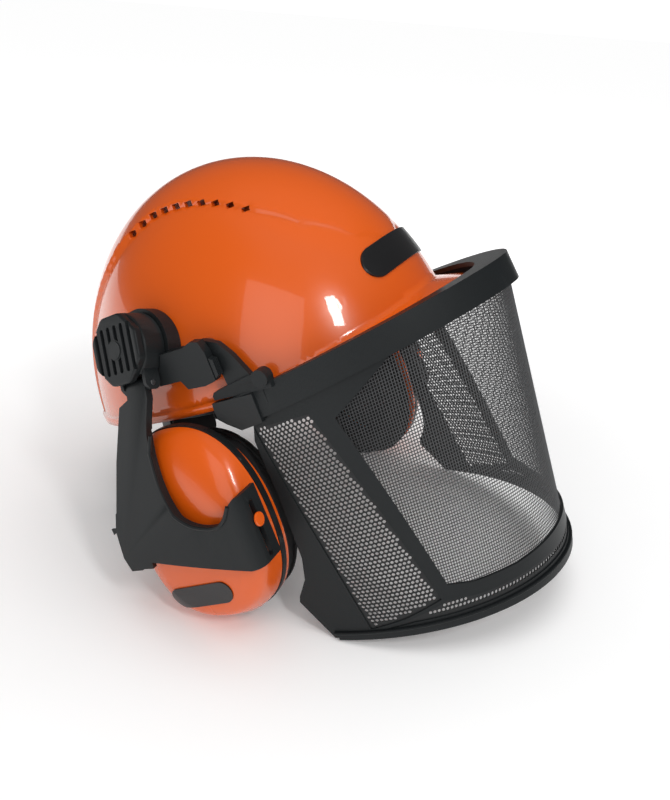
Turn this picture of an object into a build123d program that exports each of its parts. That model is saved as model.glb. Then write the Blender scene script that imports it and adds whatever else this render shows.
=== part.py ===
"""Forestry hard hat: vented shell, textile harness, lift-up mesh visor and two swing-out ear muffs.

Everything is drawn in the worn frame: origin midway between the two ear hubs, +Z towards the crown,
-Y forward, +X to the wearer's left, millimetres. The finished pieces are then tipped back by
STAND_PITCH, which is how the hat stands on a table on its visor corners and its two muffs.
"""

import os
from math import cos, pi, radians, sin, sqrt

from build123d import *

# ---- driving dimensions, mm and degrees ----
STAND_PITCH = 25.9  # the hat tips back this far when it is put down
STAND_SHIFT = (0.0, 72.8, 150.7)  # brings the table plane to z = 0 under the middle of the hat

DOME_CENTRE = (0.0, -9.0, -57.1)
DOME_HALF = (106.0, 128.0, 143.5)
KEEL_CENTRE = (0.0, -8.0, -57.1)
KEEL_HALF = (106.5, 128.2, 147.4)
KEEL_X = 50.5
KEEL_FLARE = 12.0  # the raised middle widens by this much towards the back
KEEL_FLARE_Y = 70.0
WALL = 3.0
RIM_Z = -42.5
LIP_HEIGHT = 5.0
LIP_OUT = 1.5
VENT_COUNT = 10
VENT_PITCH = 9.0
VENT_FRONT_Y = -63.0
VENT_LENGTH = 5.2
PEAK_HALF = 99.0
PEAK_DEPTH = 112.0
PEAK_FOOT = 7.0  # heights above the visor frame's lower edge: foot, bend and top of the peak
PEAK_BEND = 12.0
PEAK_RISE = 24.0
FIT_GAP = 0.3  # air between pieces that only lie against each other
BADGE_LENGTH = 80.0
BADGE_HEIGHT = 19.0

BRIM_TILT = 8.0  # the front edge of the brim and of the visor frame rises by this
BRIM_ORIGIN = (0.0, -46.5, -54.1)
FRAME_ARCH = dict(half=109.5, depth=141.4, power=1.62)
LEDGE_ARCH = dict(half=104.0, depth=120.0, power=1.62)
FRAME_HEIGHT = 16.6
FRAME_WALL = 3.0

SCREEN_TOP = dict(half=106.2, depth=138.1, power=1.62)
SCREEN_BOTTOM = dict(half=111.9, depth=136.0, power=1.95)
SCREEN_BOTTOM_ORIGIN = (0.0, -34.3, -189.2)
SCREEN_BOTTOM_TILT = -10.2
SCREEN_WALL = 1.8
MESH_WALL = 0.8

HUB = (-97.0, 2.0, 0.0)
HUB_UP = 18.0  # the hub faces up and back by these angles, square to the dome
HUB_BACK = 8.0
BASE_R = 22.8
BASE_HEIGHT = 6.5
KNOB_R = 20.5
KNOB_BACK = 7.2
KNOB_FRONT = 21.0
KNOB_TOP_WALL = 3.3
FACE_HEIGHT = 4.0
AXLE_R = 5.0
RUN_CLEARANCE = 0.05
PIVOT_Y = -40.0  # the visor's hinge line
PIVOT_Z = -9.0
PIVOT_R = 3.5
VISOR_ARM_X = (102.3, 106.3)
LINK_X = (107.0, 113.0)
HINGE_U = 4.0  # the muff's outward hinge, measured on the hub face
HINGE_V = -21.5
HINGE_W = 15.5
BARREL_R = 3.7
BARREL_HALF = 8.6
LUG_WALL = 2.4
SWING_PIN_R = 1.6
BLADE_WALL = 4.2

CUP_CENTRE = (-113.0, -4.5, -103.2)
OVAL_POWER = 2.3
ARM_WALL = 3.2
MUFF_PIN_W = 20.6
MUFF_PIN_V = 4.2
SLOT_TOP = 18.0
SLOT_BOTTOM = -16.0
REAR_SLOT_BOTTOM = -9.0
SHANK_R = 1.9
SLOT_HALF = 1.95

BAND_HALF = (78.0, 97.0)
BAND_CENTRE_Y = -8.0
BAND_Z = (-52.0, -22.0)
BAND_WALL = 2.0
PAD_WALL = 4.0
KEY_REACH = (88.0, 108.0)
KEY_WIDTH = 24.0
STRAP_COUNT = 3
STRAP_WIDTH = 20.0
STRAP_WALL = 1.2
STRAP_FOOT_Z = -12.0
STRAP_TOP = 46.0
NAPE_HALF = (76.0, 96.0)
NAPE_Z = (-86.0, -70.0)
RATCHET_SIZE = (46.0, 9.0, 28.0)
RATCHET_KNOB_R = 15.0
PINION_R = 5.0
RACK_SIZE = (30.0, 2.4, 4.0)


# ---- shared helpers ----
def egg(centre, half, grow=0.0):
    """A solid ellipsoid with each half axis enlarged by grow."""
    ball = Solid.make_sphere(100.0)
    factors = tuple((h + grow) / 100.0 for h in half)
    return Pos(*centre) * scale(ball, by=factors, mode=Mode.PRIVATE)


def egg_height(centre, half, x, y):
    """Height of an ellipsoid's outer surface above a point of the plan."""
    reach = 1 - (x / half[0]) ** 2 - ((y - centre[1]) / half[1]) ** 2
    return centre[2] + half[2] * sqrt(reach)


def arch_points(half, depth, power, inset=0.0, count=25):
    """Points of half a super-ellipse that opens towards +Y, from its -X end round the front."""
    points = []
    for i in range(count):
        turn = pi * i / (count - 1)
        side = -1 if cos(turn) > 0 else 1
        x = side * (half - inset) * abs(cos(turn)) ** (2 / power)
        y = -(depth - inset) * abs(sin(turn)) ** (2 / power)
        points.append((x, y))
    return points


def arch_strip(plane, outer_arch, inner_arch, outer_inset=0.0, inner_inset=0.0):
    """The strip between two arches, each drawn in by its own inset."""
    with BuildSketch(plane) as strip:
        with BuildLine():
            outer = Spline(*arch_points(**outer_arch, inset=outer_inset))
            inner = Spline(*arch_points(**inner_arch, inset=inner_inset))
            Line(outer @ 0, inner @ 0)
            Line(outer @ 1, inner @ 1)
        make_face()
    return strip.sketch


def arch_cap(plane, arch, inset):
    """The area closed by an arch and the straight line across its ends."""
    with BuildSketch(plane) as cap:
        with BuildLine():
            rim = Spline(*arch_points(**arch, inset=inset))
            Line(rim @ 0, rim @ 1)
        make_face()
    return cap.sketch


def save(piece, name):
    """Writes one piece in the standing frame."""
    placed = Location(STAND_SHIFT, (-STAND_PITCH, 0, 0)) * piece
    placed.label = name
    export_step(placed, f"parts/{name}.step")


def save_pair(piece, name):
    """Writes a right-hand piece and its mirror image."""
    save(piece, f"{name}_r")
    save(mirror(piece, about=Plane.YZ, mode=Mode.PRIVATE), f"{name}_l")


def side_plane(x):
    """A sketch plane at the wearer's right, x mm from the middle, whose axes are Y and Z."""
    return Plane(origin=(-x, 0, 0), x_dir=(0, -1, 0), z_dir=(-1, 0, 0))


os.makedirs("parts", exist_ok=True)

BRIM = Plane(BRIM_ORIGIN, x_dir=(1, 0, 0), z_dir=(0, sin(radians(BRIM_TILT)), cos(radians(BRIM_TILT))))
FOOT = Plane(SCREEN_BOTTOM_ORIGIN, x_dir=(1, 0, 0),
             z_dir=(0, sin(radians(SCREEN_BOTTOM_TILT)), cos(radians(SCREEN_BOTTOM_TILT))))
HUB_OUT = Vector(-cos(radians(HUB_UP)) * cos(radians(HUB_BACK)),
                 cos(radians(HUB_UP)) * sin(radians(HUB_BACK)),
                 sin(radians(HUB_UP)))
HUB_FORE = (Vector(0, -1, 0) - HUB_OUT * HUB_OUT.dot(Vector(0, -1, 0))).normalized()
HUB_FACE = Plane(HUB, x_dir=HUB_FORE, z_dir=HUB_OUT)
HUB_AXIS = Axis(HUB, HUB_OUT)
CUP_FORE = Vector(0, -1, 0)
CUP_FACE = Plane(CUP_CENTRE, x_dir=CUP_FORE, z_dir=(-1, 0, 0))
CUP_UP = Plane(CUP_CENTRE, x_dir=CUP_FORE, z_dir=(0, 0, 1))
CUP_SIDE = Plane(CUP_CENTRE, x_dir=(-1, 0, 0), z_dir=CUP_FORE)

# ---- shell: dome, raised keel with vents, rim lip and short front peak ----
def keel_block(inset):
    """The raised middle of the dome, its sides and top drawn in by inset."""
    side = KEEL_X - inset
    with BuildPart() as block:
        with BuildSketch(Plane.XY.offset(RIM_Z)):
            with BuildLine():
                Polyline((0, -125), (side - 22, -112), (side - 6, -90), (side, -66), (side, 0),
                         (side + KEEL_FLARE, KEEL_FLARE_Y), (side + KEEL_FLARE + 2, 125), (0, 125),
                         close=True)
            make_face()
            mirror(about=Plane.YZ)
        extrude(amount=150)
        add(egg(KEEL_CENTRE, KEEL_HALF, -inset), mode=Mode.INTERSECT)
    return block.part


def peak_block(inset, drop):
    """The brim that runs out in front of the dome, drawn in by inset and lowered by drop."""
    foot = dict(half=PEAK_HALF, depth=PEAK_DEPTH, power=1.7)
    crown = dict(half=PEAK_HALF - 24, depth=PEAK_DEPTH - 34, power=1.7)
    bottom = arch_cap(BRIM.offset(PEAK_FOOT - drop), foot, inset)
    bend = arch_cap(BRIM.offset(PEAK_BEND - drop), foot, inset)
    top = arch_cap(BRIM.offset(PEAK_RISE - drop), crown, inset)
    with BuildPart() as block:
        loft([bottom, bend], ruled=True)
        loft([bend, top], ruled=True)
    return block.part


with BuildPart() as peak:
    add(peak_block(0, 0))
    add(peak_block(WALL, WALL), mode=Mode.SUBTRACT)

with BuildPart() as shell:
    add(peak.part)
    add(egg(DOME_CENTRE, DOME_HALF))
    add(keel_block(0))
    with BuildSketch(Plane.XY.offset(RIM_Z)):
        with Locations((DOME_CENTRE[0], DOME_CENTRE[1])):
            Ellipse(DOME_HALF[0] - 0.4 + LIP_OUT, DOME_HALF[1] - 0.4 + LIP_OUT)
    extrude(amount=LIP_HEIGHT)
    split(bisect_by=Plane.XY.offset(RIM_Z), keep=Keep.TOP)
    add(egg(DOME_CENTRE, DOME_HALF, -WALL), mode=Mode.SUBTRACT)
    add(keel_block(WALL), mode=Mode.SUBTRACT)
    for i in range(VENT_COUNT):
        vent_y = VENT_FRONT_Y + i * VENT_PITCH
        vent_x = KEEL_X + max(0.0, vent_y) * KEEL_FLARE / KEEL_FLARE_Y
        vent_low = egg_height(DOME_CENTRE, DOME_HALF, vent_x, vent_y) - 0.5
        vent_high = egg_height(KEEL_CENTRE, KEEL_HALF, vent_x, vent_y) - 0.6
        with Locations((vent_x - 2, vent_y, vent_low), (-vent_x + 2, vent_y, vent_low)):
            Box(14, VENT_LENGTH, vent_high - vent_low, align=(Align.CENTER, Align.CENTER, Align.MIN),
                mode=Mode.SUBTRACT)
    for flank in (1, -1):
        axle_out = (flank * HUB_OUT.X, HUB_OUT.Y, HUB_OUT.Z)
        axle_line = Plane((flank * HUB[0], HUB[1], HUB[2]), z_dir=axle_out)
        with BuildSketch(axle_line.offset(-15)):
            Circle(AXLE_R)
        extrude(amount=30, mode=Mode.SUBTRACT)
save(shell.part, "shell")

# ---- front badge: a blank pill let on to the dome ----
with BuildPart() as badge:
    with BuildSketch(Plane((0, -104.7, -4.6), x_dir=(1, 0, 0), z_dir=(0, -0.9206, 0.3906))):
        SlotOverall(BADGE_LENGTH, BADGE_HEIGHT)
    extrude(amount=30)
    add(egg(KEEL_CENTRE, KEEL_HALF, 1.4), mode=Mode.INTERSECT)
    add(egg(KEEL_CENTRE, KEEL_HALF, 0.1), mode=Mode.SUBTRACT)
    add(egg(DOME_CENTRE, DOME_HALF, 0.1), mode=Mode.SUBTRACT)
save(badge.part, "front_badge")

# ---- visor frame: arched band with a top ledge, end cheeks and the two hinge arms ----
with BuildPart() as visor_bracket:
    extrude(arch_strip(BRIM, FRAME_ARCH, FRAME_ARCH, 0, FRAME_WALL), amount=FRAME_HEIGHT)
    ledge = BRIM.offset(FRAME_HEIGHT - FRAME_WALL)
    extrude(arch_strip(ledge, FRAME_ARCH, LEDGE_ARCH, 0.5), amount=FRAME_WALL)
    with BuildSketch(side_plane(105.5)):
        Polygon((62, -37), (34.5, -37.5), (34, -41), (34, -47), (39, -51), (47, -56), (62, -54), align=None)
    extrude(amount=4)
    with BuildSketch(side_plane(102.7)):
        Polygon((35.5, -36.5), (35.5, -34), (37, -32), (47, -30), (64, -27), (71, -27.5), (75, -30),
                (75, -36.5), align=None)
    extrude(amount=4.9)
    with BuildSketch(side_plane(102.7)):
        with Locations((70.5, -30)):
            Circle(5)
    extrude(amount=7)
    with BuildSketch(side_plane(VISOR_ARM_X[0])):
        Polygon((38, -2.3), (43, -2.6), (51, -6), (57, -14), (63, -26), (68, -36), (68, -45), (49, -44),
                (47, -29), (46, -17), (42, -14), align=None)
        with Locations((-PIVOT_Y, PIVOT_Z)):
            Circle(7)
    extrude(amount=VISOR_ARM_X[1] - VISOR_ARM_X[0])
    with BuildSketch(side_plane(VISOR_ARM_X[0] - 5)):
        with Locations((-PIVOT_Y, PIVOT_Z)):
            Circle(PIVOT_R + RUN_CLEARANCE)
    extrude(amount=15, mode=Mode.SUBTRACT)
    mirror(about=Plane.YZ)
save(visor_bracket.part, "visor_bracket")

# ---- visor screen: one moulded sheet with a window, and the wire mesh behind it ----
def screen_sheet(outer, inner):
    """The two end sections of a ruled sheet between two insets from the visor's outer face."""
    return [arch_strip(BRIM.offset(8), SCREEN_TOP, SCREEN_TOP, outer, inner),
            arch_strip(FOOT, SCREEN_BOTTOM, SCREEN_BOTTOM, outer, inner)]


def window_profile(grow):
    """The window as seen from the front, enlarged by grow."""
    with BuildSketch(Plane.XZ.offset(66)) as profile:
        Polygon((0, -20), (-76 - grow, -36 + grow), (-95.5 - grow, -64 + grow), (-84 - grow, -179.5 - grow),
                (-68, -184.5 - grow), (-51, -188 - grow), (0, -190 - grow), align=None)
        mirror(about=Plane.YZ)
    return profile.sketch


with BuildPart() as visor_screen:
    loft(screen_sheet(0, SCREEN_WALL), ruled=True)
    extrude(arch_strip(FOOT, SCREEN_BOTTOM, SCREEN_BOTTOM, -1.2, SCREEN_WALL + 1.2), amount=5)
    with BuildSketch(side_plane(0)):
        Polygon((48, -30), (48, -66), (51.5, -101), (52.5, -140), (50.5, -148), (46, -156), (38.5, -164),
                (38.5, -166), (51.5, -194), (51.5, -225), (0, -225), (0, -30), align=None)
    extrude(amount=150, both=True, mode=Mode.SUBTRACT)
    extrude(window_profile(0), amount=140, mode=Mode.SUBTRACT)
    add(visor_bracket.part, mode=Mode.SUBTRACT)

with BuildPart() as visor_mesh:
    loft(screen_sheet(SCREEN_WALL + 0.2, SCREEN_WALL + 0.2 + MESH_WALL), ruled=True)
    extrude(window_profile(3), amount=140, mode=Mode.INTERSECT)
    add(visor_bracket.part, mode=Mode.SUBTRACT)
for piece, name in ((visor_screen, "visor_screen"), (visor_mesh, "visor_mesh")):
    save(piece.part, name)

# ---- hub: base with the visor's link block, through bolt, turning knob, ribbed face, spring ----
with BuildPart() as hub_base:
    with BuildSketch(HUB_FACE.offset(-14)):
        Circle(BASE_R)
    extrude(amount=14 + BASE_HEIGHT)
    with BuildSketch(side_plane(LINK_X[0])):
        Polygon((8, -3), (33, -2.5), (39, -0.5), (44, -1.5), (46, -8), (46, -24.5), (38, -26), (26, -25.5),
                (23, -20), (8, -20), align=None)
    extrude(amount=LINK_X[1] - LINK_X[0])
    fillet(edges().filter_by(Axis.X).group_by(Axis.Y)[0], 1.2)
    with BuildSketch(side_plane(102)):
        Polygon((10, -3), (26, -3), (26, -18), (10, -18), align=None)
    extrude(amount=6)
    with BuildSketch(HUB_FACE.offset(BASE_HEIGHT)):
        Circle(KNOB_R + 0.9)
    extrude(amount=30, mode=Mode.SUBTRACT)
    with BuildSketch(side_plane(80)):
        with Locations((-PIVOT_Y, PIVOT_Z)):
            Circle(PIVOT_R + RUN_CLEARANCE)
    extrude(amount=31, mode=Mode.SUBTRACT)
    with BuildSketch(HUB_FACE.offset(-20)):
        Circle(AXLE_R)
    extrude(amount=40, mode=Mode.SUBTRACT)
    add(egg(DOME_CENTRE, DOME_HALF, FIT_GAP), mode=Mode.SUBTRACT)
save_pair(hub_base.part, "hub_base")

with BuildPart() as visor_pin:
    with BuildSketch(side_plane(98)):
        with Locations((-PIVOT_Y, PIVOT_Z)):
            Circle(PIVOT_R)
    extrude(amount=12.5)
    with BuildSketch(side_plane(98)):
        with Locations((-PIVOT_Y, PIVOT_Z)):
            Circle(6)
    extrude(amount=VISOR_ARM_X[0] - FIT_GAP - 98)
    add(egg(DOME_CENTRE, DOME_HALF, FIT_GAP), mode=Mode.SUBTRACT)
save_pair(visor_pin.part, "visor_pin")

with BuildPart() as visor_detent:
    with BuildSketch(side_plane(LINK_X[0] + 0.5)):
        Polygon((46.2, -11.5), (48.8, -13), (48.8, -22), (46.2, -23.5), align=None)
    extrude(amount=5)
    for i in range(3):
        with BuildSketch(side_plane(LINK_X[0] + 1.4 + i * 1.3)):
            Rectangle(3, 40)
            with Locations((49.2, -18)):
                Rectangle(2, 14)
        extrude(amount=0.6, mode=Mode.SUBTRACT)
save_pair(visor_detent.part, "visor_detent")

with BuildPart() as hub_bolt:
    with BuildSketch(HUB_FACE.offset(-4.8)):
        Circle(AXLE_R - RUN_CLEARANCE)
    extrude(amount=4.8 + KNOB_FRONT - 4)
    with BuildSketch(HUB_FACE.offset(-8.4)):
        RegularPolygon(9, 6)
    extrude(amount=3.8)
save_pair(hub_bolt.part, "hub_bolt")



def hinge_plane(u):
    """A plane square to the muff's outward hinge, u mm forward on the hub face."""
    return Plane(HUB_FACE.from_local_coords((u, HINGE_V, HINGE_W)), z_dir=HUB_FORE)


def muff_pin_plane(turn, u):
    """A plane square to a muff pin, u mm out from the cup's middle; turn is 1 in front and -1 behind."""
    return Plane(CUP_FACE.from_local_coords((u * turn, MUFF_PIN_V, MUFF_PIN_W)), z_dir=CUP_FORE * turn)


lug_outline = [(1, 12), (1, 22), (3.5, 25.2), (8.5, 25.2), (11, 22), (11, 12)]
LUG_GAP = BARREL_HALF + FIT_GAP
with BuildPart() as hub_knob:
    with BuildSketch(HUB_FACE.offset(KNOB_BACK)):
        Circle(KNOB_R)
    extrude(amount=KNOB_FRONT - KNOB_BACK)
    fillet(faces().sort_by(HUB_AXIS)[-1].edges(), 1.5)
    for lug_u in (HINGE_U - LUG_GAP - LUG_WALL, HINGE_U + LUG_GAP):
        lug_plane = Plane(HUB_FACE.from_local_coords((lug_u, 0, HINGE_W - 6)), x_dir=HUB_OUT, z_dir=HUB_FORE)
        with BuildSketch(lug_plane):
            Polygon(*lug_outline, align=None)
        extrude(amount=LUG_WALL)
    with BuildSketch(hinge_plane(-40)):
        Circle(SWING_PIN_R + RUN_CLEARANCE)
    extrude(amount=80, mode=Mode.SUBTRACT)
    with BuildSketch(HUB_FACE.offset(HINGE_W - BARREL_R - 1.2)):
        with Locations((HINGE_U, HINGE_V - 2)):
            Rectangle(2 * LUG_GAP, 15)
    extrude(amount=20, mode=Mode.SUBTRACT)
    with BuildSketch(HUB_FACE.offset(KNOB_BACK)):
        Circle(14)
    extrude(amount=KNOB_FRONT - KNOB_TOP_WALL - KNOB_BACK, mode=Mode.SUBTRACT)
    with BuildSketch(HUB_FACE):
        Circle(AXLE_R)
    extrude(amount=KNOB_FRONT - 2, mode=Mode.SUBTRACT)
save_pair(hub_knob.part, "hub_knob")

with BuildPart() as hub_spring:
    with BuildLine():
        coil = Helix(pitch=2.6, height=6.5, radius=9.5)
    with BuildSketch(Plane(coil @ 0, z_dir=coil % 0)):
        Circle(0.9)
    sweep(path=coil)
save_pair(HUB_FACE.offset(KNOB_BACK + 1.6).location * hub_spring.part, "hub_spring")

with BuildPart() as hub_face:
    with BuildSketch(HUB_FACE.offset(KNOB_FRONT + FIT_GAP)):
        RegularPolygon(KNOB_R + 0.6, 8, rotation=22.5)
        fillet(vertices(), 6)
    extrude(amount=FACE_HEIGHT)
    fillet(faces().sort_by(HUB_AXIS)[-1].edges(), 1.2)
    with BuildSketch(HUB_FACE.offset(KNOB_FRONT + FIT_GAP + FACE_HEIGHT - 1.6)):
        with GridLocations(5.8, 0, 6, 1):
            SlotOverall(27, 2.9, rotation=90)
        with Locations((0, 0)):
            Circle(5.8, mode=Mode.SUBTRACT)
    extrude(amount=4, mode=Mode.SUBTRACT)
    with BuildSketch(HUB_FACE.offset(KNOB_FRONT + FIT_GAP)):
        Circle(5)
    extrude(amount=FACE_HEIGHT + 0.4)
save_pair(hub_face.part, "hub_face")

with BuildPart() as swing_pin:
    with BuildSketch(hinge_plane(HINGE_U - BARREL_HALF - LUG_WALL - FIT_GAP)):
        Circle(SWING_PIN_R)
    extrude(amount=2 * (BARREL_HALF + LUG_WALL + FIT_GAP))
save_pair(swing_pin.part, "swing_pin")

# ---- muff arm: barrel, leaning blade and the bail that wraps the cup ----
BAIL_REAR = -47.6
BAIL_FORE = 48.6
BAIL_OUT = 33.0
BAIL_CROWN = 1.5
BAIL_BEND = 8.0
BAIL_IN = 12.0
with BuildPart() as muff_arm:
    with BuildSketch(CUP_UP.offset(-25)):
        for inset, foot, mode in ((0, BAIL_IN, Mode.ADD), (ARM_WALL, BAIL_IN - 5, Mode.SUBTRACT)):
            rear = BAIL_REAR + inset
            fore = BAIL_FORE - inset
            out = BAIL_OUT - inset
            bend = BAIL_BEND - inset * 0.6
            slack = bend * (1 - sqrt(0.5))
            with BuildLine():
                Line((rear, -foot), (rear, bend - out))
                ThreePointArc((rear, bend - out), (rear + slack, slack - out), (rear + bend, -out))
                crown = ((rear + fore) / 2, -out - BAIL_CROWN)
                ThreePointArc((rear + bend, -out), crown, (fore - bend, -out))
                ThreePointArc((fore - bend, -out), (fore - slack, slack - out), (fore, bend - out))
                Line((fore, bend - out), (fore, -foot))
                Line((fore, -foot), (rear, -foot))
            make_face(mode=mode)
    extrude(amount=48)
    with BuildSketch(HUB_FACE.offset(HINGE_W + BLADE_WALL)):
        Rectangle(500, 500)
    extrude(amount=60, mode=Mode.SUBTRACT)
    with BuildSketch(HUB_FACE.offset(HINGE_W)):
        with BuildLine():
            Polyline((12.5, HINGE_V), (12.5, -30), (8, -42), (6, -50), (6, -61), (10, -79), (40, -100),
                     (40, -135), (-60, -135), (-60, -105), (-34, -90), (-25, -61), (-13, -31), (-4.5, -28),
                     (-4.5, HINGE_V), close=True)
        make_face()
    extrude(amount=BLADE_WALL)
    with BuildSketch(CUP_FACE):
        with BuildLine():
            Polyline((-2.5, 50), (-2.5, 64), (31, 66), (31, 134), (-70, 134), (-70, 50), (-35.5, 50),
                     (-46.5, 12), (-54, 12), (-54, -13), (-43, -13), (-42, -12), (-25.5, -12), (-24.5, -8),
                     (41, -20), (54, -20), (54, 22), (46, 22), (43.5, 20), (38, 13), (32, 9.4))
            Spline((32, 9.4), (23.5, 9.6), (14.5, 13), (6.5, 21), (0, 35), (-2.5, 50))
        make_face()
    extrude(amount=BAIL_OUT + BAIL_CROWN, mode=Mode.INTERSECT)
    with BuildSketch(CUP_FACE.offset(BAIL_OUT - 8)):
        Polygon((-46.5, 12), (-42, -12), (-42, -30), (-60, -30), (-60, 12), align=None)
    extrude(amount=20, mode=Mode.SUBTRACT)
    with BuildSketch(hinge_plane(HINGE_U - BARREL_HALF)):
        Circle(BARREL_R)
    extrude(amount=2 * BARREL_HALF)
    with BuildSketch(hinge_plane(HINGE_U - 20)):
        Circle(SWING_PIN_R + RUN_CLEARANCE)
    extrude(amount=40, mode=Mode.SUBTRACT)
    for slot_low, reach in ((SLOT_BOTTOM, 70), (REAR_SLOT_BOTTOM, -70)):
        with BuildSketch(CUP_SIDE):
            with Locations((MUFF_PIN_W, (SLOT_TOP + slot_low) / 2)):
                SlotOverall(SLOT_TOP - slot_low, 2 * SLOT_HALF, rotation=90)
        extrude(amount=reach, mode=Mode.SUBTRACT)
save_pair(muff_arm.part, "muff_arm")


# ---- muff cup and its soft parts ----
def cup_oval(height, half_u, half_v, centre_v=0.0):
    """A squarish oval of the cup, at a height above the ring plane."""
    points = []
    for i in range(24):
        turn = 2 * pi * i / 24
        u = half_u * abs(cos(turn)) ** (2 / OVAL_POWER) * (1 if cos(turn) > 0 else -1)
        v = half_v * abs(sin(turn)) ** (2 / OVAL_POWER) * (1 if sin(turn) > 0 else -1)
        points.append((u, centre_v + v))
    with BuildSketch(CUP_FACE.offset(height)) as oval:
        with BuildLine():
            Spline(*points, periodic=True)
        make_face()
    return oval.sketch


# height above the ring plane, half width, half height, centre height
cup_ovals = [
    (5.1, 45.0, 60.0, 0.0),
    (12.0, 43.5, 56.5, -2.5),
    (18.0, 41.8, 49.0, -7.0),
    (23.5, 36.5, 38.5, -14.0),
    (27.0, 27.0, 26.0, -18.0),
]


def cup_block(grow, drop):
    """The cup's solid form, its ovals enlarged by grow and lowered towards the ring plane by drop."""
    with BuildPart() as block:
        loft([cup_oval(h - drop, u + grow, v + grow, c) for h, u, v, c in cup_ovals])
    return block.part


with BuildPart() as muff_cup:
    add(cup_block(0, 0))
    for turn in (1, -1):
        with BuildSketch(muff_pin_plane(turn, 28)):
            Circle(5)
        extrude(amount=15.5)
    add(cup_block(-2.8, 2.8), mode=Mode.SUBTRACT)
    for turn in (1, -1):
        with BuildSketch(muff_pin_plane(turn, 36)):
            Circle(SHANK_R + RUN_CLEARANCE)
        extrude(amount=15, mode=Mode.SUBTRACT)
save_pair(muff_cup.part, "muff_cup")

with BuildPart() as muff_pins:
    for turn in (1, -1):
        with BuildSketch(muff_pin_plane(turn, 39.5)):
            Circle(SHANK_R)
        extrude(amount=BAIL_FORE + 1 - 39.5)
        with BuildSketch(muff_pin_plane(turn, BAIL_FORE + FIT_GAP)):
            Circle(4)
        extrude(amount=1.6)
save_pair(muff_pins.part, "muff_pins")

# low and high face, outer halves, inner halves, centre height
rings = {
    "cup_rim": (0.3, 4.8, 45.5, 60.6, 31.0, 46.0, 0.0),
    "seal_ring": (-3.0, 0.0, 44.5, 58.0, 30.0, 44.0, -2.5),
    "cushion": (-24.0, -3.3, 43.0, 54.5, 24.0, 34.0, -4.5),
}
for name, (low, high, out_u, out_v, in_u, in_v, centre_v) in rings.items():
    with BuildPart() as ring:
        extrude(cup_oval(low, out_u, out_v, centre_v), amount=high - low)
        extrude(cup_oval(low, in_u, in_v, centre_v), amount=high - low, mode=Mode.SUBTRACT)
        if name == "cushion":
            fillet(ring.edges(), 6)
    save_pair(ring.part, f"muff_{name}")

with BuildPart() as muff_foam:
    with BuildSketch(CUP_FACE.offset(-2.5)):
        with Locations((0, -3)):
            Ellipse(27, 40)
    extrude(amount=10)
save_pair(muff_foam.part, "muff_foam")

with BuildPart() as cup_badge:
    with BuildSketch(CUP_FACE.offset(8)):
        with Locations((-6, -36)):
            SlotOverall(46, 13.5, rotation=4)
    extrude(amount=40)
    add(cup_block(0.9, -0.9), mode=Mode.INTERSECT)
    add(cup_block(0.05, -0.05), mode=Mode.SUBTRACT)
save_pair(cup_badge.part, "cup_badge")

# ---- harness: headband, sweatband, textile cradle, keys, nape strap and its ratchet ----
def polar_reach(half, turn):
    """Distance from the middle of an oval to its edge in the plan direction turn."""
    return 1 / sqrt((sin(turn) / half[0]) ** 2 + (cos(turn) / half[1]) ** 2)


with BuildPart() as headband:
    with BuildSketch(Plane.XY.offset(BAND_Z[0])):
        with Locations((0, BAND_CENTRE_Y)):
            Ellipse(*BAND_HALF)
            Ellipse(BAND_HALF[0] - BAND_WALL, BAND_HALF[1] - BAND_WALL, mode=Mode.SUBTRACT)
    extrude(amount=BAND_Z[1] - BAND_Z[0])
save(headband.part, "headband")

with BuildPart() as sweatband:
    with BuildSketch(Plane.XY.offset(BAND_Z[0] + 1)):
        with Locations((0, BAND_CENTRE_Y)):
            Ellipse(BAND_HALF[0] - BAND_WALL - FIT_GAP, BAND_HALF[1] - BAND_WALL - FIT_GAP)
            inner = [half - BAND_WALL - PAD_WALL for half in BAND_HALF]
            Ellipse(*inner, mode=Mode.SUBTRACT)
        with Locations((0, 60)):
            Rectangle(300, 180, mode=Mode.SUBTRACT)
    extrude(amount=BAND_Z[1] - BAND_Z[0] - 2)
save(sweatband.part, "sweatband")

for k in range(STRAP_COUNT):
    turn = pi * k / STRAP_COUNT
    span = polar_reach(KEY_REACH, turn) - 2
    rise = STRAP_TOP - STRAP_FOOT_Z + k * (STRAP_WALL + 0.8)
    strap_plane = Plane((0, BAND_CENTRE_Y, STRAP_FOOT_Z), x_dir=(sin(turn), cos(turn), 0),
                        z_dir=(cos(turn), -sin(turn), 0))
    with BuildPart() as strap:
        with BuildSketch(strap_plane):
            Ellipse(span, rise)
            Ellipse(span - STRAP_WALL, rise - STRAP_WALL, mode=Mode.SUBTRACT)
            with Locations((0, -150)):
                Rectangle(300, 300, mode=Mode.SUBTRACT)
        extrude(amount=STRAP_WIDTH / 2, both=True)
    save(strap.part, f"cradle_strap_{k + 1}")

with BuildPart() as strap_keys:
    for k in range(2 * STRAP_COUNT):
        turn = pi * k / STRAP_COUNT
        reach = polar_reach(KEY_REACH, turn)
        foot = polar_reach(BAND_HALF, turn) + 2
        key_plane = Plane((0, BAND_CENTRE_Y, 0), x_dir=(sin(turn), cos(turn), 0),
                          z_dir=(cos(turn), -sin(turn), 0))
        with BuildSketch(key_plane):
            Polygon((foot, -28), (foot, -15), (reach - 1.6, -15), (reach - 1.6, -3), (reach + 3.5, -3),
                    (reach + 3.5, -28), align=None)
        extrude(amount=KEY_WIDTH / 2, both=True)
save(strap_keys.part, "strap_keys")

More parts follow.
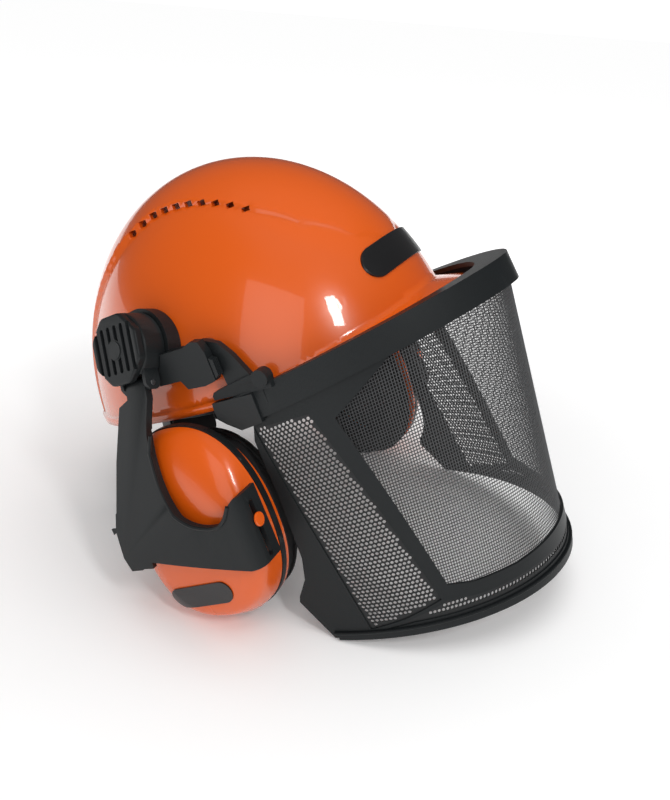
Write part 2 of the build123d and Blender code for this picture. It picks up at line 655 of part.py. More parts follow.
nape_y = BAND_CENTRE_Y + NAPE_HALF[1]
nape_mid = (NAPE_Z[0] + NAPE_Z[1]) / 2
with BuildPart() as nape_strap:
    with BuildSketch(Plane.XY.offset(NAPE_Z[0])):
        with Locations((0, BAND_CENTRE_Y)):
            Ellipse(*NAPE_HALF)
            Ellipse(NAPE_HALF[0] - BAND_WALL, NAPE_HALF[1] - BAND_WALL, mode=Mode.SUBTRACT)
        with Locations((0, -60)):
            Rectangle(300, 200, mode=Mode.SUBTRACT)
        Rectangle(RATCHET_SIZE[0] + 8, 300, mode=Mode.SUBTRACT)
    extrude(amount=BAND_Z[0] - NAPE_Z[0] - FIT_GAP)
    with BuildSketch(Plane.YZ.offset(-100)):
        Polygon((52, BAND_Z[0]), (62, NAPE_Z[1]), (150, NAPE_Z[1]), (150, BAND_Z[0]), align=None)
        Polygon((40, NAPE_Z[0] - 1), (30, NAPE_Z[0] - 1), (30, BAND_Z[0] - 8), (40, BAND_Z[0] - 8),
                align=None)
    extrude(amount=200, mode=Mode.SUBTRACT)
nape_halves = nape_strap.part.solids().sort_by(Axis.X)
save(nape_halves[0], "nape_strap_r")
save(nape_halves[-1], "nape_strap_l")

RATCHET = Plane((0, nape_y - RATCHET_SIZE[1] / 2 - 1, nape_mid), x_dir=(-1, 0, 0), z_dir=(0, 1, 0))
HALF_DEPTH = RATCHET_SIZE[1] / 2
with BuildPart() as ratchet_case:
    with BuildSketch(RATCHET.offset(-HALF_DEPTH)):
        RectangleRounded(RATCHET_SIZE[0], RATCHET_SIZE[2], 8)
    extrude(amount=RATCHET_SIZE[1])
    with BuildSketch(RATCHET.offset(-2.5)):
        Rectangle(RATCHET_SIZE[0] + 2, 2 * (PINION_R + RACK_SIZE[2] + 0.8))
    extrude(amount=5, mode=Mode.SUBTRACT)
    with BuildSketch(RATCHET):
        Circle(2.5 + RUN_CLEARANCE)
    extrude(amount=20, mode=Mode.SUBTRACT)
save(ratchet_case.part, "ratchet_case")

with BuildPart() as ratchet_pinion:
    with BuildSketch(RATCHET.offset(-2.0)):
        Circle(PINION_R)
    extrude(amount=4)
    with BuildSketch(RATCHET):
        Circle(2.5)
    extrude(amount=HALF_DEPTH + 2)
save(ratchet_pinion.part, "ratchet_pinion")

with BuildPart() as ratchet_knob:
    with BuildSketch(RATCHET.offset(HALF_DEPTH + FIT_GAP)):
        Circle(RATCHET_KNOB_R)
        with PolarLocations(RATCHET_KNOB_R + 1.2, 18):
            Circle(2, mode=Mode.SUBTRACT)
    extrude(amount=9)
    with BuildSketch(RATCHET):
        Circle(2.5)
    extrude(amount=HALF_DEPTH + 2, mode=Mode.SUBTRACT)
save(ratchet_knob.part, "ratchet_knob")

for flank, name in ((1, "r"), (-1, "l")):
    with BuildPart() as rack:
        with BuildSketch(RATCHET.offset(-RACK_SIZE[1] / 2)):
            with Locations((flank * 11, flank * (PINION_R + 0.2 + RACK_SIZE[2] / 2))):
                Rectangle(RACK_SIZE[0], RACK_SIZE[2])
        extrude(amount=RACK_SIZE[1])
    save(rack.part, f"ratchet_rack_{name}")
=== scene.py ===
"""Looks of the forestry hard hat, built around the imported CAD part. Metres, row frame."""

import math

import bmesh
import bpy
from mathutils import Matrix, Vector
from mathutils.geometry import delaunay_2d_cdt


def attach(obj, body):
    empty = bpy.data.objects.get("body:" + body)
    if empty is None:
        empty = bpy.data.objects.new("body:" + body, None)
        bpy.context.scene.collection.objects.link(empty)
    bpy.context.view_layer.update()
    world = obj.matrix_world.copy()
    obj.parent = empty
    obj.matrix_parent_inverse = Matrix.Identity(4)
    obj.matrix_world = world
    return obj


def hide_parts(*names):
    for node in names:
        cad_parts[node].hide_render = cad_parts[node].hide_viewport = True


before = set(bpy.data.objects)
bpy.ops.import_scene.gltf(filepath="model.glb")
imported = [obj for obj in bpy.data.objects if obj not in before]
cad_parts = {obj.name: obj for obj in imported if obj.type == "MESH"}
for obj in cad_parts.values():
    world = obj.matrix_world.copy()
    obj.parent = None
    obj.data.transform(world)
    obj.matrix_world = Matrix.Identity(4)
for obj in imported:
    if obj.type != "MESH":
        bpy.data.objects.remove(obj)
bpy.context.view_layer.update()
MM = 0.001

# ---- the worn frame of the CAD source: origin between the hubs, +Z to the crown, mm ----
PITCH = math.radians(25.9)
SHIFT = Vector((0.0, 72.8, 150.7))
TIP = Matrix.Rotation(-PITCH, 3, "X")


def row(point):
    """A point of the worn frame, mm, in the row frame, metres."""
    return (TIP @ Vector(point) + SHIFT) * MM


def worn(point):
    """A point of the row frame, metres, in the worn frame, mm."""
    return TIP.transposed() @ (Vector(point) / MM - SHIFT)


CUP = Vector((-113.0, -4.5, -103.2))


def cup_point(u, v, w):
    """A point of the right cup: u forward, v up, w outward from its ring plane."""
    return CUP + Vector((-w, -u, v))


def mirrored(point, side):
    """The point for the right side, or its mirror image for the left."""
    return Vector((-point[0], point[1], point[2])) if side == "l" else Vector(point)


# ---- materials ----
def link(tree, a, out, b, name):
    """Joins a named output to an input."""
    tree.links.new(a.outputs[out], b.inputs[name])


def node(tree, kind, **values):
    """Adds a shader node; each value is a property of the node or else one of its inputs."""
    made = tree.nodes.new(kind)
    for key, value in values.items():
        if hasattr(made, key) and key not in made.inputs:
            setattr(made, key, value)
        else:
            made.inputs[key].default_value = value
    return made


def plastic(name, colour, rough=(0.35, 0.5), coat=0.0, grain=(900, 0.12), vary=0.12, edge_lift=0.25, metal=0.0,
            shine=0.5):
    """A procedural surface: two-scale colour variation, uneven roughness, fine bump and lighter convex edges.
    """
    mat = bpy.data.materials.new(name)
    mat.use_nodes = True
    tree = mat.node_tree
    shader = tree.nodes["Principled BSDF"]
    shader.inputs["Metallic"].default_value = metal
    shader.inputs["Specular IOR Level"].default_value = shine
    shader.inputs["Coat Weight"].default_value = coat
    shader.inputs["Coat Roughness"].default_value = 0.04
    place = node(tree, "ShaderNodeTexCoord")
    broad = node(tree, "ShaderNodeTexNoise", Scale=9.0, Detail=4.0)
    fine = node(tree, "ShaderNodeTexNoise", Scale=float(grain[0]), Detail=2.0)
    for noise in (broad, fine):
        link(tree, place, "Object", noise, "Vector")
    dark = [c * (1 - vary) for c in colour]
    light = [min(1.0, c * (1 + vary) + 0.002) for c in colour]
    tone = node(tree, "ShaderNodeMix", data_type="RGBA")
    tone.inputs[6].default_value = (*dark, 1)
    tone.inputs[7].default_value = (*light, 1)
    tree.links.new(broad.outputs["Fac"], tone.inputs[0])
    # convex edges, found by pointiness, are mixed towards a paler copy of the colour
    edge = node(tree, "ShaderNodeNewGeometry")
    sharp = node(tree, "ShaderNodeMapRange")
    for key, value in (("From Min", 0.53), ("From Max", 0.62), ("To Min", 0.0), ("To Max", edge_lift)):
        sharp.inputs[key].default_value = value
    link(tree, edge, "Pointiness", sharp, "Value")
    lighter_edge = node(tree, "ShaderNodeMix", data_type="RGBA")
    lighter_edge.inputs[7].default_value = (*[min(1.0, c * 1.5 + 0.03) for c in colour], 1)
    tree.links.new(sharp.outputs["Result"], lighter_edge.inputs[0])
    tree.links.new(tone.outputs[2], lighter_edge.inputs[6])
    tree.links.new(lighter_edge.outputs[2], shader.inputs["Base Color"])
    gloss = node(tree, "ShaderNodeMapRange")
    gloss.inputs["To Min"].default_value = rough[0]
    gloss.inputs["To Max"].default_value = rough[1]
    link(tree, broad, "Fac", gloss, "Value")
    link(tree, gloss, "Result", shader, "Roughness")
    bump = node(tree, "ShaderNodeBump", Strength=float(grain[1]), Distance=0.0004)
    link(tree, fine, "Fac", bump, "Height")
    link(tree, bump, "Normal", shader, "Normal")
    return mat


def woven(name, colour, pitch=0.0016, strength=0.5):
    """Cloth or leather: crossing wave bump over an uneven colour."""
    mat = plastic(name, colour, rough=(0.75, 0.92), grain=(700, 0.4), vary=0.22, edge_lift=0.1)
    tree = mat.node_tree
    place = tree.nodes["Texture Coordinate"]
    waves = []
    for direction in ("X", "Y"):
        wave = node(tree, "ShaderNodeTexWave", Scale=0.31 / pitch, Distortion=0.6)
        wave.bands_direction = direction
        link(tree, place, "Object", wave, "Vector")
        waves.append(wave)
    both = node(tree, "ShaderNodeMath", operation="MULTIPLY")
    tree.links.new(waves[0].outputs["Fac"], both.inputs[0])
    tree.links.new(waves[1].outputs["Fac"], both.inputs[1])
    bump = node(tree, "ShaderNodeBump", Strength=strength, Distance=0.0003)
    link(tree, both, "Value", bump, "Height")
    old = tree.nodes["Bump"]
    link(tree, old, "Normal", bump, "Normal")
    link(tree, bump, "Normal", tree.nodes["Principled BSDF"], "Normal")
    return mat


ORANGE = plastic("orange_gloss", (0.74, 0.105, 0.0035), rough=(0.22, 0.30), coat=0.8,
                 grain=(260, 0.03), vary=0.05, edge_lift=0.15)
CUP_ORANGE = plastic("cup_orange", (0.80, 0.112, 0.004), rough=(0.22, 0.32), coat=0.5,
                     grain=(500, 0.05), vary=0.06, edge_lift=0.18)
CHARCOAL = plastic("charcoal_satin", (0.0105, 0.0125, 0.0135), rough=(0.36, 0.5), grain=(1500, 0.2), vary=0.2,
                   edge_lift=0.2, shine=0.28)
PANEL = plastic("panel_satin", (0.017, 0.018, 0.019), rough=(0.38, 0.52), grain=(1500, 0.15), vary=0.2,
                edge_lift=0.2, shine=0.35)
BADGE = plastic("badge_dark", (0.010, 0.010, 0.011), rough=(0.3, 0.42), coat=0.2, grain=(900, 0.1), vary=0.2)
WIRE = plastic("wire_cloth", (0.10, 0.102, 0.105), rough=(0.4, 0.5), grain=(1200, 0.1), vary=0.2,
               metal=0.6)
STEEL = plastic("pin_steel", (0.42, 0.42, 0.43), rough=(0.3, 0.45), grain=(2000, 0.2), vary=0.15, metal=1.0)
SKIN = woven("cushion_skin", (0.012, 0.012, 0.013), pitch=0.0011, strength=0.25)
FOAM = plastic("liner_foam", (0.03, 0.03, 0.032), rough=(0.9, 1.0), grain=(420, 0.9), vary=0.4)
FABRIC = woven("strap_fabric", (0.030, 0.031, 0.035))
PAD = woven("sweatband_pad", (0.022, 0.020, 0.019), pitch=0.0022, strength=0.4)


# ---- mesh helpers ----
def make(name, verts, faces, mat, body, smooth=True, sharp=32.0):
    """A new visible piece that rides a body."""
    mesh = bpy.data.meshes.new(name)
    mesh.from_pydata([tuple(v) for v in verts], [], faces)
    mesh.validate()
    mesh.materials.append(mat)
    obj = bpy.data.objects.new(name, mesh)
    bpy.context.scene.collection.objects.link(obj)
    if smooth:
        mesh.shade_smooth()
        mesh.set_sharp_from_angle(angle=math.radians(sharp))
    if body:
        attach(obj, body)
    return obj


EGGS = [((0, -9.0, -57.1), (106.0, 128.0, 143.5)), ((0, -8.0, -57.1), (106.5, 128.2, 147.4))]
WALL = 3.0


def snap_to_eggs(mesh, reach=0.25):
    """Moves vertices that all but lie on one of the dome's ellipsoids exactly on to it."""
    skins = [(Vector(c), Vector(h) + Vector((g, g, g))) for c, h in EGGS for g in (0.0, -WALL)]
    normals = [TIP.transposed() @ v.normal for v in mesh.vertices]
    for vert, normal in zip(mesh.vertices, normals):
        point = worn(vert.co)
        best = None
        for centre, half in skins:
            rel = point - centre
            size = math.sqrt(sum((rel[i] / half[i]) ** 2 for i in range(3)))
            gap = abs(size - 1) * rel.length
            square = Vector([rel[i] / half[i] ** 2 for i in range(3)]).normalized()
            level = abs(square.dot(normal)) > 0.993
            if level and gap < reach and (best is None or gap < best[0]):
                best = (gap, centre + rel / size)
        if best:
            vert.co = row(best[1])


def refined(name, source, body, mat, bevel=0.4, sharp=32.0, split=0.0):
    """A finer copy of a CAD node: welded, flat areas merged, edges rounded, shaded smooth."""
    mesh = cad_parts[source].data.copy()
    mesh.name = name
    bm = bmesh.new()
    bm.from_mesh(mesh)
    bmesh.ops.remove_doubles(bm, verts=bm.verts, dist=3e-6)
    if split:  # long edges are halved in up to three rounds, stopping early once none is longer than split
        for _ in range(3):
            long_edges = [e for e in bm.edges if e.calc_length() > split]
            if not long_edges:
                break
            bmesh.ops.subdivide_edges(bm, edges=long_edges, cuts=1)
            bmesh.ops.triangulate(bm, faces=[f for f in bm.faces if len(f.verts) > 3])
    else:
        bmesh.ops.dissolve_limit(bm, angle_limit=0.014, verts=bm.verts, edges=bm.edges)
    bm.to_mesh(mesh)
    bm.free()
    if split:
        snap_to_eggs(mesh)
    mesh.materials.clear()
    mesh.materials.append(mat)
    obj = bpy.data.objects.new(name, mesh)
    bpy.context.scene.collection.objects.link(obj)
    mesh.shade_smooth()
    mesh.set_sharp_from_angle(angle=math.radians(sharp))
    if bevel:
        mod = obj.modifiers.new("round", "BEVEL")
        mod.width = bevel * MM
        mod.segments = 2
        mod.limit_method = "ANGLE"
        mod.angle_limit = math.radians(38)
        mod.harden_normals = True
    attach(obj, body)
    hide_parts(source)
    return obj


def tube(name, path, radius, mat, body, sides=8, closed=False, flat=1.0):
    """A round or flattened bead along points of the row frame."""
    points = [Vector(p) for p in path]
    count = len(points)
    verts, faces = [], []
    for i, point in enumerate(points):
        ahead = points[(i + 1) % count] if closed else points[min(i + 1, count - 1)]
        behind = points[i - 1] if closed else points[max(i - 1, 0)]
        along = (ahead - behind).normalized()
        side = along.cross(Vector((0, 0.13, 1))).normalized()
        lift = side.cross(along)
        for k in range(sides):
            turn = 2 * math.pi * k / sides
            verts.append(point + side * math.cos(turn) * radius + lift * math.sin(turn) * radius * flat)
    rings = count if closed else count - 1
    for i in range(rings):
        for k in range(sides):
            a, b = i * sides + k, i * sides + (k + 1) % sides
            c, d = ((i + 1) % count) * sides + (k + 1) % sides, ((i + 1) % count) * sides + k
            faces.append((a, b, c, d))
    if not closed:
        faces.append(tuple(reversed(range(sides))))
        faces.append(tuple(range((count - 1) * sides, count * sides)))
    return make(name, verts, faces, mat, body)


# ---- shell and the fixed pieces ----
refined("shell_skin", "shell", "base", ORANGE, bevel=0.0, sharp=34, split=0.005)
refined("badge_skin", "front_badge", "base", BADGE, bevel=0.25)
refined("band_skin", "headband", "base", CHARCOAL, bevel=0.5)
refined("sweat_skin", "sweatband", "base", PAD, bevel=0.8)
for k in (1, 2, 3):
    refined(f"cradle_skin_{k}", f"cradle_strap_{k}", "base", FABRIC, bevel=0.3)
refined("key_skin", "strap_keys", "base", CHARCOAL, bevel=1.2)
refined("case_skin", "ratchet_case", "base", CHARCOAL, bevel=0.8)
refined("nape_skin_r", "nape_strap_r", "base", CHARCOAL, bevel=0.5)
refined("nape_skin_l", "nape_strap_l", "base", CHARCOAL, bevel=0.5)
refined("ratchet_knob_skin", "ratchet_knob", "ratchet", CHARCOAL, bevel=0.5)
refined("pinion_skin", "ratchet_pinion", "ratchet", CHARCOAL, bevel=0.2)
for side in "rl":
    refined(f"rack_skin_{side}", f"ratchet_rack_{side}", f"rack_{side}", CHARCOAL, bevel=0.2)
    refined(f"base_skin_{side}", f"hub_base_{side}", "base", CHARCOAL, bevel=0.8)
    refined(f"visor_pin_skin_{side}", f"visor_pin_{side}", "base", STEEL, bevel=0.3)
    refined(f"detent_skin_{side}", f"visor_detent_{side}", "base", CHARCOAL, bevel=0.2)
    refined(f"bolt_skin_{side}", f"hub_bolt_{side}", "base", STEEL, bevel=0.3)
    refined(f"spring_skin_{side}", f"hub_spring_{side}", "base", STEEL, bevel=0.0)
    refined(f"knob_skin_{side}", f"hub_knob_{side}", f"knob_{side}", CHARCOAL, bevel=0.4)
    refined(f"face_skin_{side}", f"hub_face_{side}", f"knob_{side}", CHARCOAL, bevel=0.4)
    refined(f"swing_pin_skin_{side}", f"swing_pin_{side}", f"knob_{side}", STEEL, bevel=0.2)
    refined(f"arm_skin_{side}", f"muff_arm_{side}", f"arm_{side}", CHARCOAL, bevel=0.9)
    refined(f"pins_skin_{side}", f"muff_pins_{side}", f"pins_{side}", CUP_ORANGE, bevel=0.5)
    refined(f"cup_skin_{side}", f"muff_cup_{side}", f"cup_{side}", CUP_ORANGE, bevel=0.5)
    refined(f"rim_skin_{side}", f"muff_cup_rim_{side}", f"cup_{side}", CHARCOAL, bevel=0.9)
    refined(f"seal_skin_{side}", f"muff_seal_ring_{side}", f"cup_{side}", CUP_ORANGE, bevel=0.9)
    refined(f"foam_skin_{side}", f"muff_foam_{side}", f"cup_{side}", FOAM, bevel=1.2)
    refined(f"cup_badge_skin_{side}", f"cup_badge_{side}", f"cup_{side}", BADGE, bevel=0.2)
refined("bracket_skin", "visor_bracket", "visor", CHARCOAL, bevel=0.9)

# ---- visor screen: the ruled sheet between the frame and the bottom rail ----
BRIM_TILT, FOOT_TILT = math.radians(8.0), math.radians(-10.2)
BRIM_AT, FOOT_AT = Vector((0, -46.5, -54.1)), Vector((0, -34.3, -189.2))


def arch(turn, origin, tilt, half, depth, power, inset):
    """A point of a super-ellipse arch in a tilted plane; turn runs from the right round the front."""
    c, s = math.cos(turn), math.sin(turn)
    x = -math.copysign((half - inset) * abs(c) ** (2 / power), c)
    y = -(depth - inset) * abs(s) ** (2 / power)
    return origin + Vector((x, y * math.cos(tilt), -y * math.sin(tilt)))



def screen_point(turn, drop, inset=0.0):
    """A point of the visor sheet: turn round the arch in radians, drop 0 at the frame and 1 at the rail."""
    top = arch(turn, BRIM_AT, BRIM_TILT, 106.2, 138.1, 1.62, inset)
    foot = arch(turn, FOOT_AT, FOOT_TILT, 111.9, 136.0, 1.95, inset)
    return top.lerp(foot, drop)


# distance along the arch at mid height, to lay the sheet out flat in mm
STEPS = 720
LENGTHS = [0.0]
for i in range(STEPS):
    a, b = (screen_point(math.pi * k / STEPS, 0.5) for k in (i, i + 1))
    LENGTHS.append(LENGTHS[-1] + (b - a).length)
SPAN = LENGTHS[-1]
DROP = 145.0


def turn_at(length):
    """The turn round the arch at a length along it."""
    length = min(max(length, 0.0), SPAN)
    low, high = 0, STEPS
    while high - low > 1:
        mid = (low + high) // 2
        if LENGTHS[mid] <= length:
            low = mid
        else:
            high = mid
    part = (length - LENGTHS[low]) / (LENGTHS[high] - LENGTHS[low])
    return math.pi * (low + part) / STEPS


def flat(degrees, drop):
    """Flat layout position of a turn in degrees and a drop."""
    at = degrees / 180 * STEPS
    low = min(int(at), STEPS - 1)
    return Vector((LENGTHS[low] + (LENGTHS[low + 1] - LENGTHS[low]) * (at - low), drop * DROP))


def lifted(point, inset):
    """A flat layout point wrapped on to the visor's surface, drawn in by inset."""
    return screen_point(turn_at(point[0]), point[1] / DROP, inset)


def both_sides(points):
    """A loop drawn for the wearer's right half, closed with its mirror image."""
    return points + [Vector((SPAN - p[0], p[1])) for p in reversed(points)]


def inside(point, loop):
    """Whether a flat point lies in a loop."""
    hit = False
    for i, a in enumerate(loop):
        b = loop[i - 1]
        if (a[1] > point[1]) != (b[1] > point[1]):
            if point[0] < (b[0] - a[0]) * (point[1] - a[1]) / (b[1] - a[1]) + a[0]:
                hit = not hit
    return hit


REAR = [flat(6.0, -0.03), flat(3.4, 0.08), flat(5.6, 0.33), flat(6.6, 0.62), flat(5.4, 0.72), flat(2.2, 0.80),
        flat(1.6, 0.83), flat(8.8, 1.0)]
RIGHT_EDGE = [flat(90, -0.03)] + [flat(d, -0.03) for d in range(84, 6, -6)] + REAR
OUTLINE = RIGHT_EDGE + [flat(d, 1.0) for d in range(14, 172, 5)]
OUTLINE += [Vector((SPAN - p[0], p[1])) for p in reversed(RIGHT_EDGE[1:])]
WINDOW = both_sides([flat(45, -0.02), flat(26.4, 0.117), flat(40.6, 0.845), flat(48, 0.866),
                     flat(61.9, 0.872), flat(75, 0.866), flat(89, 0.858)])
SIDE_PANEL = [flat(4.6, 0.03), flat(20.9, 0.062), flat(38.0, 0.893), flat(28, 0.938), flat(18.8, 0.965)]
LOW_BAND = ([flat(21.8, 0.972), flat(39.2, 0.905)] + [flat(d, 0.918) for d in range(50, 131, 5)]
            + [Vector((SPAN - p[0], p[1])) for p in (flat(39.2, 0.905), flat(21.8, 0.972))]
            + [flat(d, 0.958) for d in range(150, 29, -5)])
PANELS = [SIDE_PANEL, [Vector((SPAN - p[0], p[1])) for p in SIDE_PANEL], LOW_BAND]


def dense(loop, step=4.0):
    """The loop with points no more than a step apart."""
    out = []
    for i, a in enumerate(loop):
        b = loop[(i + 1) % len(loop)]
        count = max(1, math.ceil((b - a).length / step))
        out += [a.lerp(b, k / count) for k in range(count)]
    return out


HOLE_SIDES = 8  # only the small round holes are drawn with exactly this many points
FILL_CELL = 6.0  # size of the squares by which holes are looked up


def sheet(name, outline, holes, outer, inner, mat, body, grid=5.0):
    """A curved sheet with holes, filled in the flat layout and wrapped on to the visor surface."""
    loops = [dense(outline)] + [h if len(h) == HOLE_SIDES else dense(h) for h in holes]
    verts, edges = [], []
    for loop in loops:
        first = len(verts)
        verts += [Vector(p) for p in loop]
        edges += [(first + i, first + (i + 1) % len(loop)) for i in range(len(loop))]
    for i in range(int(SPAN / grid) + 1):
        for j in range(-1, int(DROP / grid) + 2):
            point = Vector((i * grid + 0.13, j * grid + 0.17))
            if inside(point, outline) and not any(inside(point, h) for h in holes if len(h) != HOLE_SIDES):
                verts.append(point)
    out = delaunay_2d_cdt(verts, edges, [], 0, 1e-5)
    points, faces = out[0], []
    seen = {}
    for face in out[2]:
        mid = sum((points[i] for i in face), Vector((0, 0))) / 3
        if not inside(mid, outline):
            continue
        cell = (int(mid[0] // FILL_CELL), int(mid[1] // FILL_CELL))
        if cell not in seen:
            spot = Vector(((cell[0] + 0.5) * FILL_CELL, (cell[1] + 0.5) * FILL_CELL))
            seen[cell] = [h for h in holes if len(h) != HOLE_SIDES or (h[0] - spot).length < 10]
        if any(inside(mid, h) for h in seen[cell]):
            continue
        faces.append(tuple(face))
    count = len(points)
    solid = [row(lifted(p, outer)) for p in points] + [row(lifted(p, inner)) for p in points]
    used = {}
    for face in faces:
        for i in range(3):
            key = (face[i], face[(i + 1) % 3])
            used[key] = used.get(key, 0) + 1
    walls = [(b, a, a + count, b + count) for a, b in used if (b, a) not in used]
    backs = [tuple(i + count for i in reversed(f)) for f in faces]
    return make(name, solid, faces + backs + walls, mat, body, sharp=50)


HOLE_PITCH, HOLE_R = 2.7, 1.06
ROW_PITCH = HOLE_PITCH * 0.866  # staggered rows
HOLE_EDGE = 1.3  # a hole is left out when a ring this many times its size crosses the panel's edge
perforations = []
for panel in PANELS:
    low_x, high_x = min(p[0] for p in panel), max(p[0] for p in panel)
    low_y, high_y = min(p[1] for p in panel), max(p[1] for p in panel)
    for j in range(int((high_y - low_y) / ROW_PITCH) + 1):
        for i in range(int((high_x - low_x) / HOLE_PITCH) + 1):
            spot = Vector((low_x + (i + 0.5 * (j % 2)) * HOLE_PITCH, low_y + j * ROW_PITCH))
            ring = [spot + Vector((math.cos(a), math.sin(a))) * HOLE_R
                    for a in (math.pi * k / 4 + 0.39 for k in range(HOLE_SIDES))]
            guard = [spot + (p - spot) * HOLE_EDGE for p in ring]
            if all(inside(p, panel) for p in guard):
                perforations.append(ring)

skin = sheet("screen_sheet", OUTLINE, [WINDOW] + perforations, 0.9, 1.8, PANEL, "visor")
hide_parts("visor_screen")
sheet("screen_bars", OUTLINE, [WINDOW] + PANELS, 0.0, 0.95, CHARCOAL, "visor")
RAIL = [flat(d, 0.972) for d in range(170, 9, -4)] + [flat(d, 1.004) for d in range(10, 171, 4)]
sheet("screen_rail", RAIL, [], -1.2, 1.2, CHARCOAL, "visor")
bead_path = [row(screen_point(math.radians(d), 0.975, -1.0)) for d in range(9, 172, 3)]
tube("rail_bead", bead_path, 0.9 * MM, CHARCOAL, "visor")

# woven wire behind the window
WEAVE = 1.65  # distance between wires
WIRE_INSET = 2.3
wires_v, wires_f = [], []


def wire(points, radius=0.27):
    """One wire as a square tube through points of the flat layout."""
    first = len(wires_v)
    upright = abs(points[-1][0] - points[0][0]) < abs(points[-1][1] - points[0][1])
    for p in points:
        for du, dn in ((-radius, 0), (0, radius), (radius, 0), (0, -radius)):
            shift = Vector((du, 0)) if upright else Vector((0, du))
            wires_v.append(row(lifted(Vector(p) + shift, WIRE_INSET + dn)))
    for i in range(len(points) - 1):
        for k in range(4):
            a, b = first + i * 4 + k, first + i * 4 + (k + 1) % 4
            wires_f.append((a, b, b + 4, a + 4))


grown = [Vector((p[0] + (2.5 if p[0] > SPAN / 2 else -2.5), p[1] + (2.5 if p[1] > DROP / 2 else -1.0)))
         for p in WINDOW]


def crossings(loop, axis, value):
    """Where a flat line cuts a loop."""
    other = 1 - axis
    cuts = []
    for i, a in enumerate(loop):
        b = loop[i - 1]
        if (a[axis] > value) != (b[axis] > value):
            part = (value - a[axis]) / (b[axis] - a[axis])
            cuts.append(a[other] + part * (b[other] - a[other]))
    return sorted(cuts)


at = min(p[0] for p in grown) + 0.8
while at < max(p[0] for p in grown):
    cuts = crossings(grown, 0, at)
    for low, high in zip(cuts[::2], cuts[1::2]):
        wire([(at, low), (at, high)])
    at += WEAVE
at = min(p[1] for p in grown) + 0.8
while at < max(p[1] for p in grown):
    cuts = crossings(grown, 1, at)
    for low, high in zip(cuts[::2], cuts[1::2]):
        count = max(2, int((high - low) / 4))
        wire([(low + (high - low) * i / count, at) for i in range(count + 1)])
    at += WEAVE
cloth_mesh = make("wire_cloth", wires_v, wires_f, WIRE, "visor", smooth=False)
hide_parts("visor_mesh")


# ---- raised lip along the muff arm's inner edge ----
def arm_face_w(u, v):
    """Height of the arm's outer face above the cup's ring plane."""
    blade = (19.7 + 0.1324 * (6.5 + u) + 0.309 * (103.2 - v)) / 0.9418 - 16.0
    bail = 33.0 + 1.5 * (1 - ((u - 0.5) / 40) ** 2)
    return min(blade, bail)


def smooth_path(points, count=10):
    """A Catmull-Rom curve through the points."""
    out = []
    for i in range(len(points) - 1):
        p0, p1, p2 = points[max(i - 1, 0)], points[i], points[i + 1]
        p3 = points[min(i + 2, len(points) - 1)]
        for k in range(count):
            t = k / count
            out.append(tuple(0.5 * (2 * b + (c - a) * t + (2 * a - 5 * b + 4 * c - d) * t * t
                                    + (3 * b - a - 3 * c + d) * t ** 3)
                             for a, b, c, d in zip(p0, p1, p2, p3)))
    return out + [points[-1]]


EDGE = [(0.5, 62), (-2.6, 54), (-2.8, 49), (-0.6, 35), (6, 21), (14, 12.7), (23.5, 9.2), (32, 9.0),
        (38, 12.6), (43.2, 19.4)]
for side in "rl":
    path = [row(mirrored(cup_point(u - 0.3, v - 0.3, arm_face_w(u, v) + 0.1), side))
            for u, v in smooth_path(EDGE)]
    tube(f"arm_lip_{side}", path, 1.15 * MM, CHARCOAL, f"arm_{side}")


# ---- cushions: cloth blown up from the CAD ring, then a welt seam ----
VOXEL = 0.0045


def cushion(side):
    """The ear cushion and its two seams."""
    source = f"muff_cushion_{side}"
    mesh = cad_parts[source].data.copy()
    mesh.name = f"cushion_skin_{side}"
    mesh.materials.clear()
    mesh.materials.append(SKIN)
    obj = bpy.data.objects.new(mesh.name, mesh)
    bpy.context.scene.collection.objects.link(obj)
    bpy.context.view_layer.objects.active = obj
    obj.select_set(True)
    remesh = obj.modifiers.new("remesh", "REMESH")
    remesh.mode = "VOXEL"
    remesh.voxel_size = VOXEL
    bpy.ops.object.modifier_apply(modifier=remesh.name)
    rest = [v.co.copy() for v in obj.data.vertices]
    soft = obj.modifiers.new("cloth", "CLOTH")
    soft.settings.use_pressure = True
    soft.settings.uniform_pressure_force = 4.0
    soft.settings.effector_weights.gravity = 0.0
    soft.settings.quality = 5
    soft.settings.tension_stiffness = 30
    soft.settings.compression_stiffness = 8
    scene = bpy.context.scene
    for f in range(1, 21):
        scene.frame_set(f)
    bpy.ops.object.modifier_apply(modifier=soft.name)
    scene.frame_set(1)
    limit = 0.0018  # the cushion may swell this far
    for vert, old in zip(obj.data.vertices, rest):
        move = vert.co - old
        vert.co = old + (move if move.length < limit else move * (limit / move.length))
    smooth = obj.modifiers.new("smooth", "SMOOTH")
    smooth.iterations = 3
    bpy.ops.object.modifier_apply(modifier=smooth.name)
    soft_again = obj.modifiers.new("sub", "SUBSURF")
    soft_again.levels = soft_again.render_levels = 1
    bpy.ops.object.modifier_apply(modifier=soft_again.name)
    obj.select_set(False)
    obj.data.shade_smooth()
    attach(obj, f"cup_{side}")
    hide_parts(source)
    for part, (half_u, half_v, w) in enumerate(((43.3, 54.8, -13.5), (24.2, 34.2, -14.5))):
        ring = []
        for i in range(96):
            turn = 2 * math.pi * i / 96
            u = math.copysign(half_u * abs(math.cos(turn)) ** (2 / 2.3), math.cos(turn))
            v = math.copysign(half_v * abs(math.sin(turn)) ** (2 / 2.3), math.sin(turn)) - 4.5
            ring.append(row(mirrored(cup_point(u, v, w), side)))
        tube(f"cushion_welt_{side}_{part}", ring, 0.8 * MM, SKIN, f"cup_{side}", closed=True)


for side in "rl":
    cushion(side)

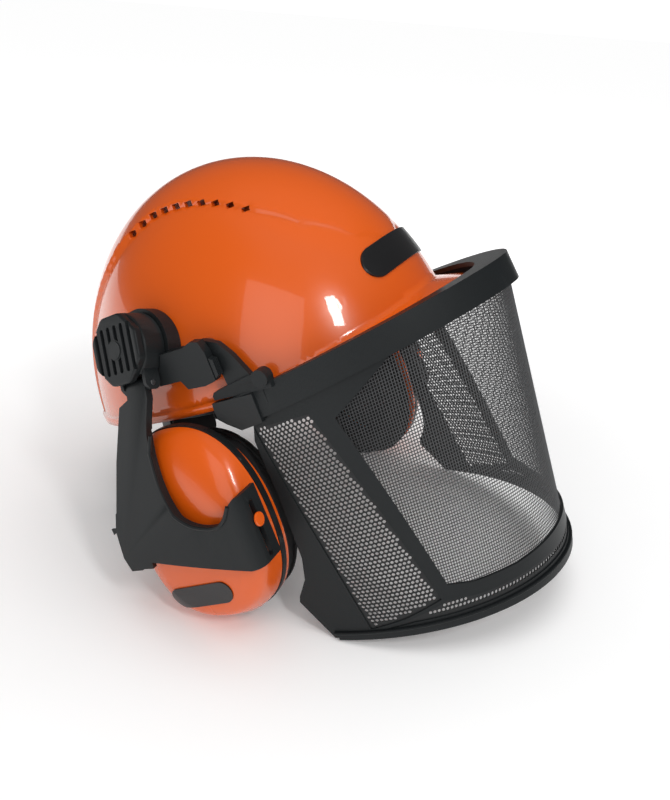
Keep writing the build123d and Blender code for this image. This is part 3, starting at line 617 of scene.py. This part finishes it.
# ---- stage: floor, lights, camera ----
bpy.ops.mesh.primitive_plane_add(size=80)
floor = bpy.context.object
floor.name = "floor"
floor_mat = plastic("floor_pale", (0.955, 0.955, 0.955), rough=(0.5, 0.6), grain=(60, 0.02), vary=0.01,
                    edge_lift=0.0)
# painted light: the floor glows with strength 0.12 within 0.15 m of the origin, rising to 0.75 from 0.9 m
# out, so it is brighter away from the hat
glow = floor_mat.node_tree
spread = node(glow, "ShaderNodeVectorMath", operation="LENGTH")
where = node(glow, "ShaderNodeNewGeometry")
glow.links.new(where.outputs["Position"], spread.inputs[0])
painted_glow_ramp = node(glow, "ShaderNodeMapRange", interpolation_type="SMOOTHSTEP")
for key, value in (("From Min", 0.15), ("From Max", 0.9), ("To Min", 0.12), ("To Max", 0.75)):
    painted_glow_ramp.inputs[key].default_value = value
glow.links.new(spread.outputs["Value"], painted_glow_ramp.inputs["Value"])
glowing_floor_shader = glow.nodes["Principled BSDF"]
glowing_floor_shader.inputs["Emission Color"].default_value = (1, 1, 1, 1)
glow.links.new(painted_glow_ramp.outputs["Result"], glowing_floor_shader.inputs["Emission Strength"])
floor.data.materials.append(floor_mat)


def softbox(name, spot, target, size, power):
    data = bpy.data.lights.new(name, "AREA")
    data.shape = "RECTANGLE"
    data.size, data.size_y = size
    data.energy = power
    obj = bpy.data.objects.new(name, data)
    bpy.context.scene.collection.objects.link(obj)
    obj.location = spot
    obj.rotation_euler = (Vector(target) - Vector(spot)).to_track_quat("-Z", "Y").to_euler()
    return obj


softbox("top_light", (0.1, -0.1, 1.5), (0, 0, 0.1), (1.6, 1.6), 14).visible_glossy = False
softbox("left_light", (-1.4, -0.2, 0.9), (0, 0, 0.15), (0.9, 1.2), 3.6)
softbox("window_light", (-0.60, -0.75, 0.99), (-0.064, -0.025, 0.184), (0.14, 0.30), 3.6)
world = bpy.data.worlds.new("studio")
bpy.context.scene.world = world
world.use_nodes = True
sky = world.node_tree
seen = node(sky, "ShaderNodeLightPath")
level = node(sky, "ShaderNodeMapRange")
level.inputs["To Min"].default_value = 0.30
level.inputs["To Max"].default_value = 1.05
mirror = node(sky, "ShaderNodeMath", operation="MULTIPLY_ADD")
mirror.inputs[1].default_value = -0.22
link(sky, seen, "Is Glossy Ray", mirror, 0)
link(sky, seen, "Is Camera Ray", level, "Value")
link(sky, level, "Result", mirror, 2)
link(sky, mirror, "Value", sky.nodes["Background"], "Strength")
sky.nodes["Background"].inputs["Color"].default_value = (1, 1, 1, 1)
bpy.context.scene.view_settings.view_transform = "Standard"

# the viewpoint was found for a pitch of 25.4 degrees, so it turns with the hat by the difference
TURN = Matrix.Rotation(math.radians(25.4) - PITCH, 3, "X")
eye = (TURN @ Vector((-444.2, -261.0, 179.0)) + SHIFT) * MM
right = TURN @ Vector((0.4110, -0.9098, 0.0568))
up = TURN @ Vector((0.3791, 0.2272, 0.8970))
look = TURN @ Vector((0.8291, 0.3472, -0.4383))
camera_data = bpy.data.cameras.new("camera")
camera_data.lens = 35.62
camera_data.sensor_width = 36
camera = bpy.data.objects.new("camera", camera_data)
bpy.context.scene.collection.objects.link(camera)
turned = Matrix((right, up, -look)).transposed().to_4x4()
turned.translation = eye
camera.matrix_world = turned
bpy.context.scene.camera = camera
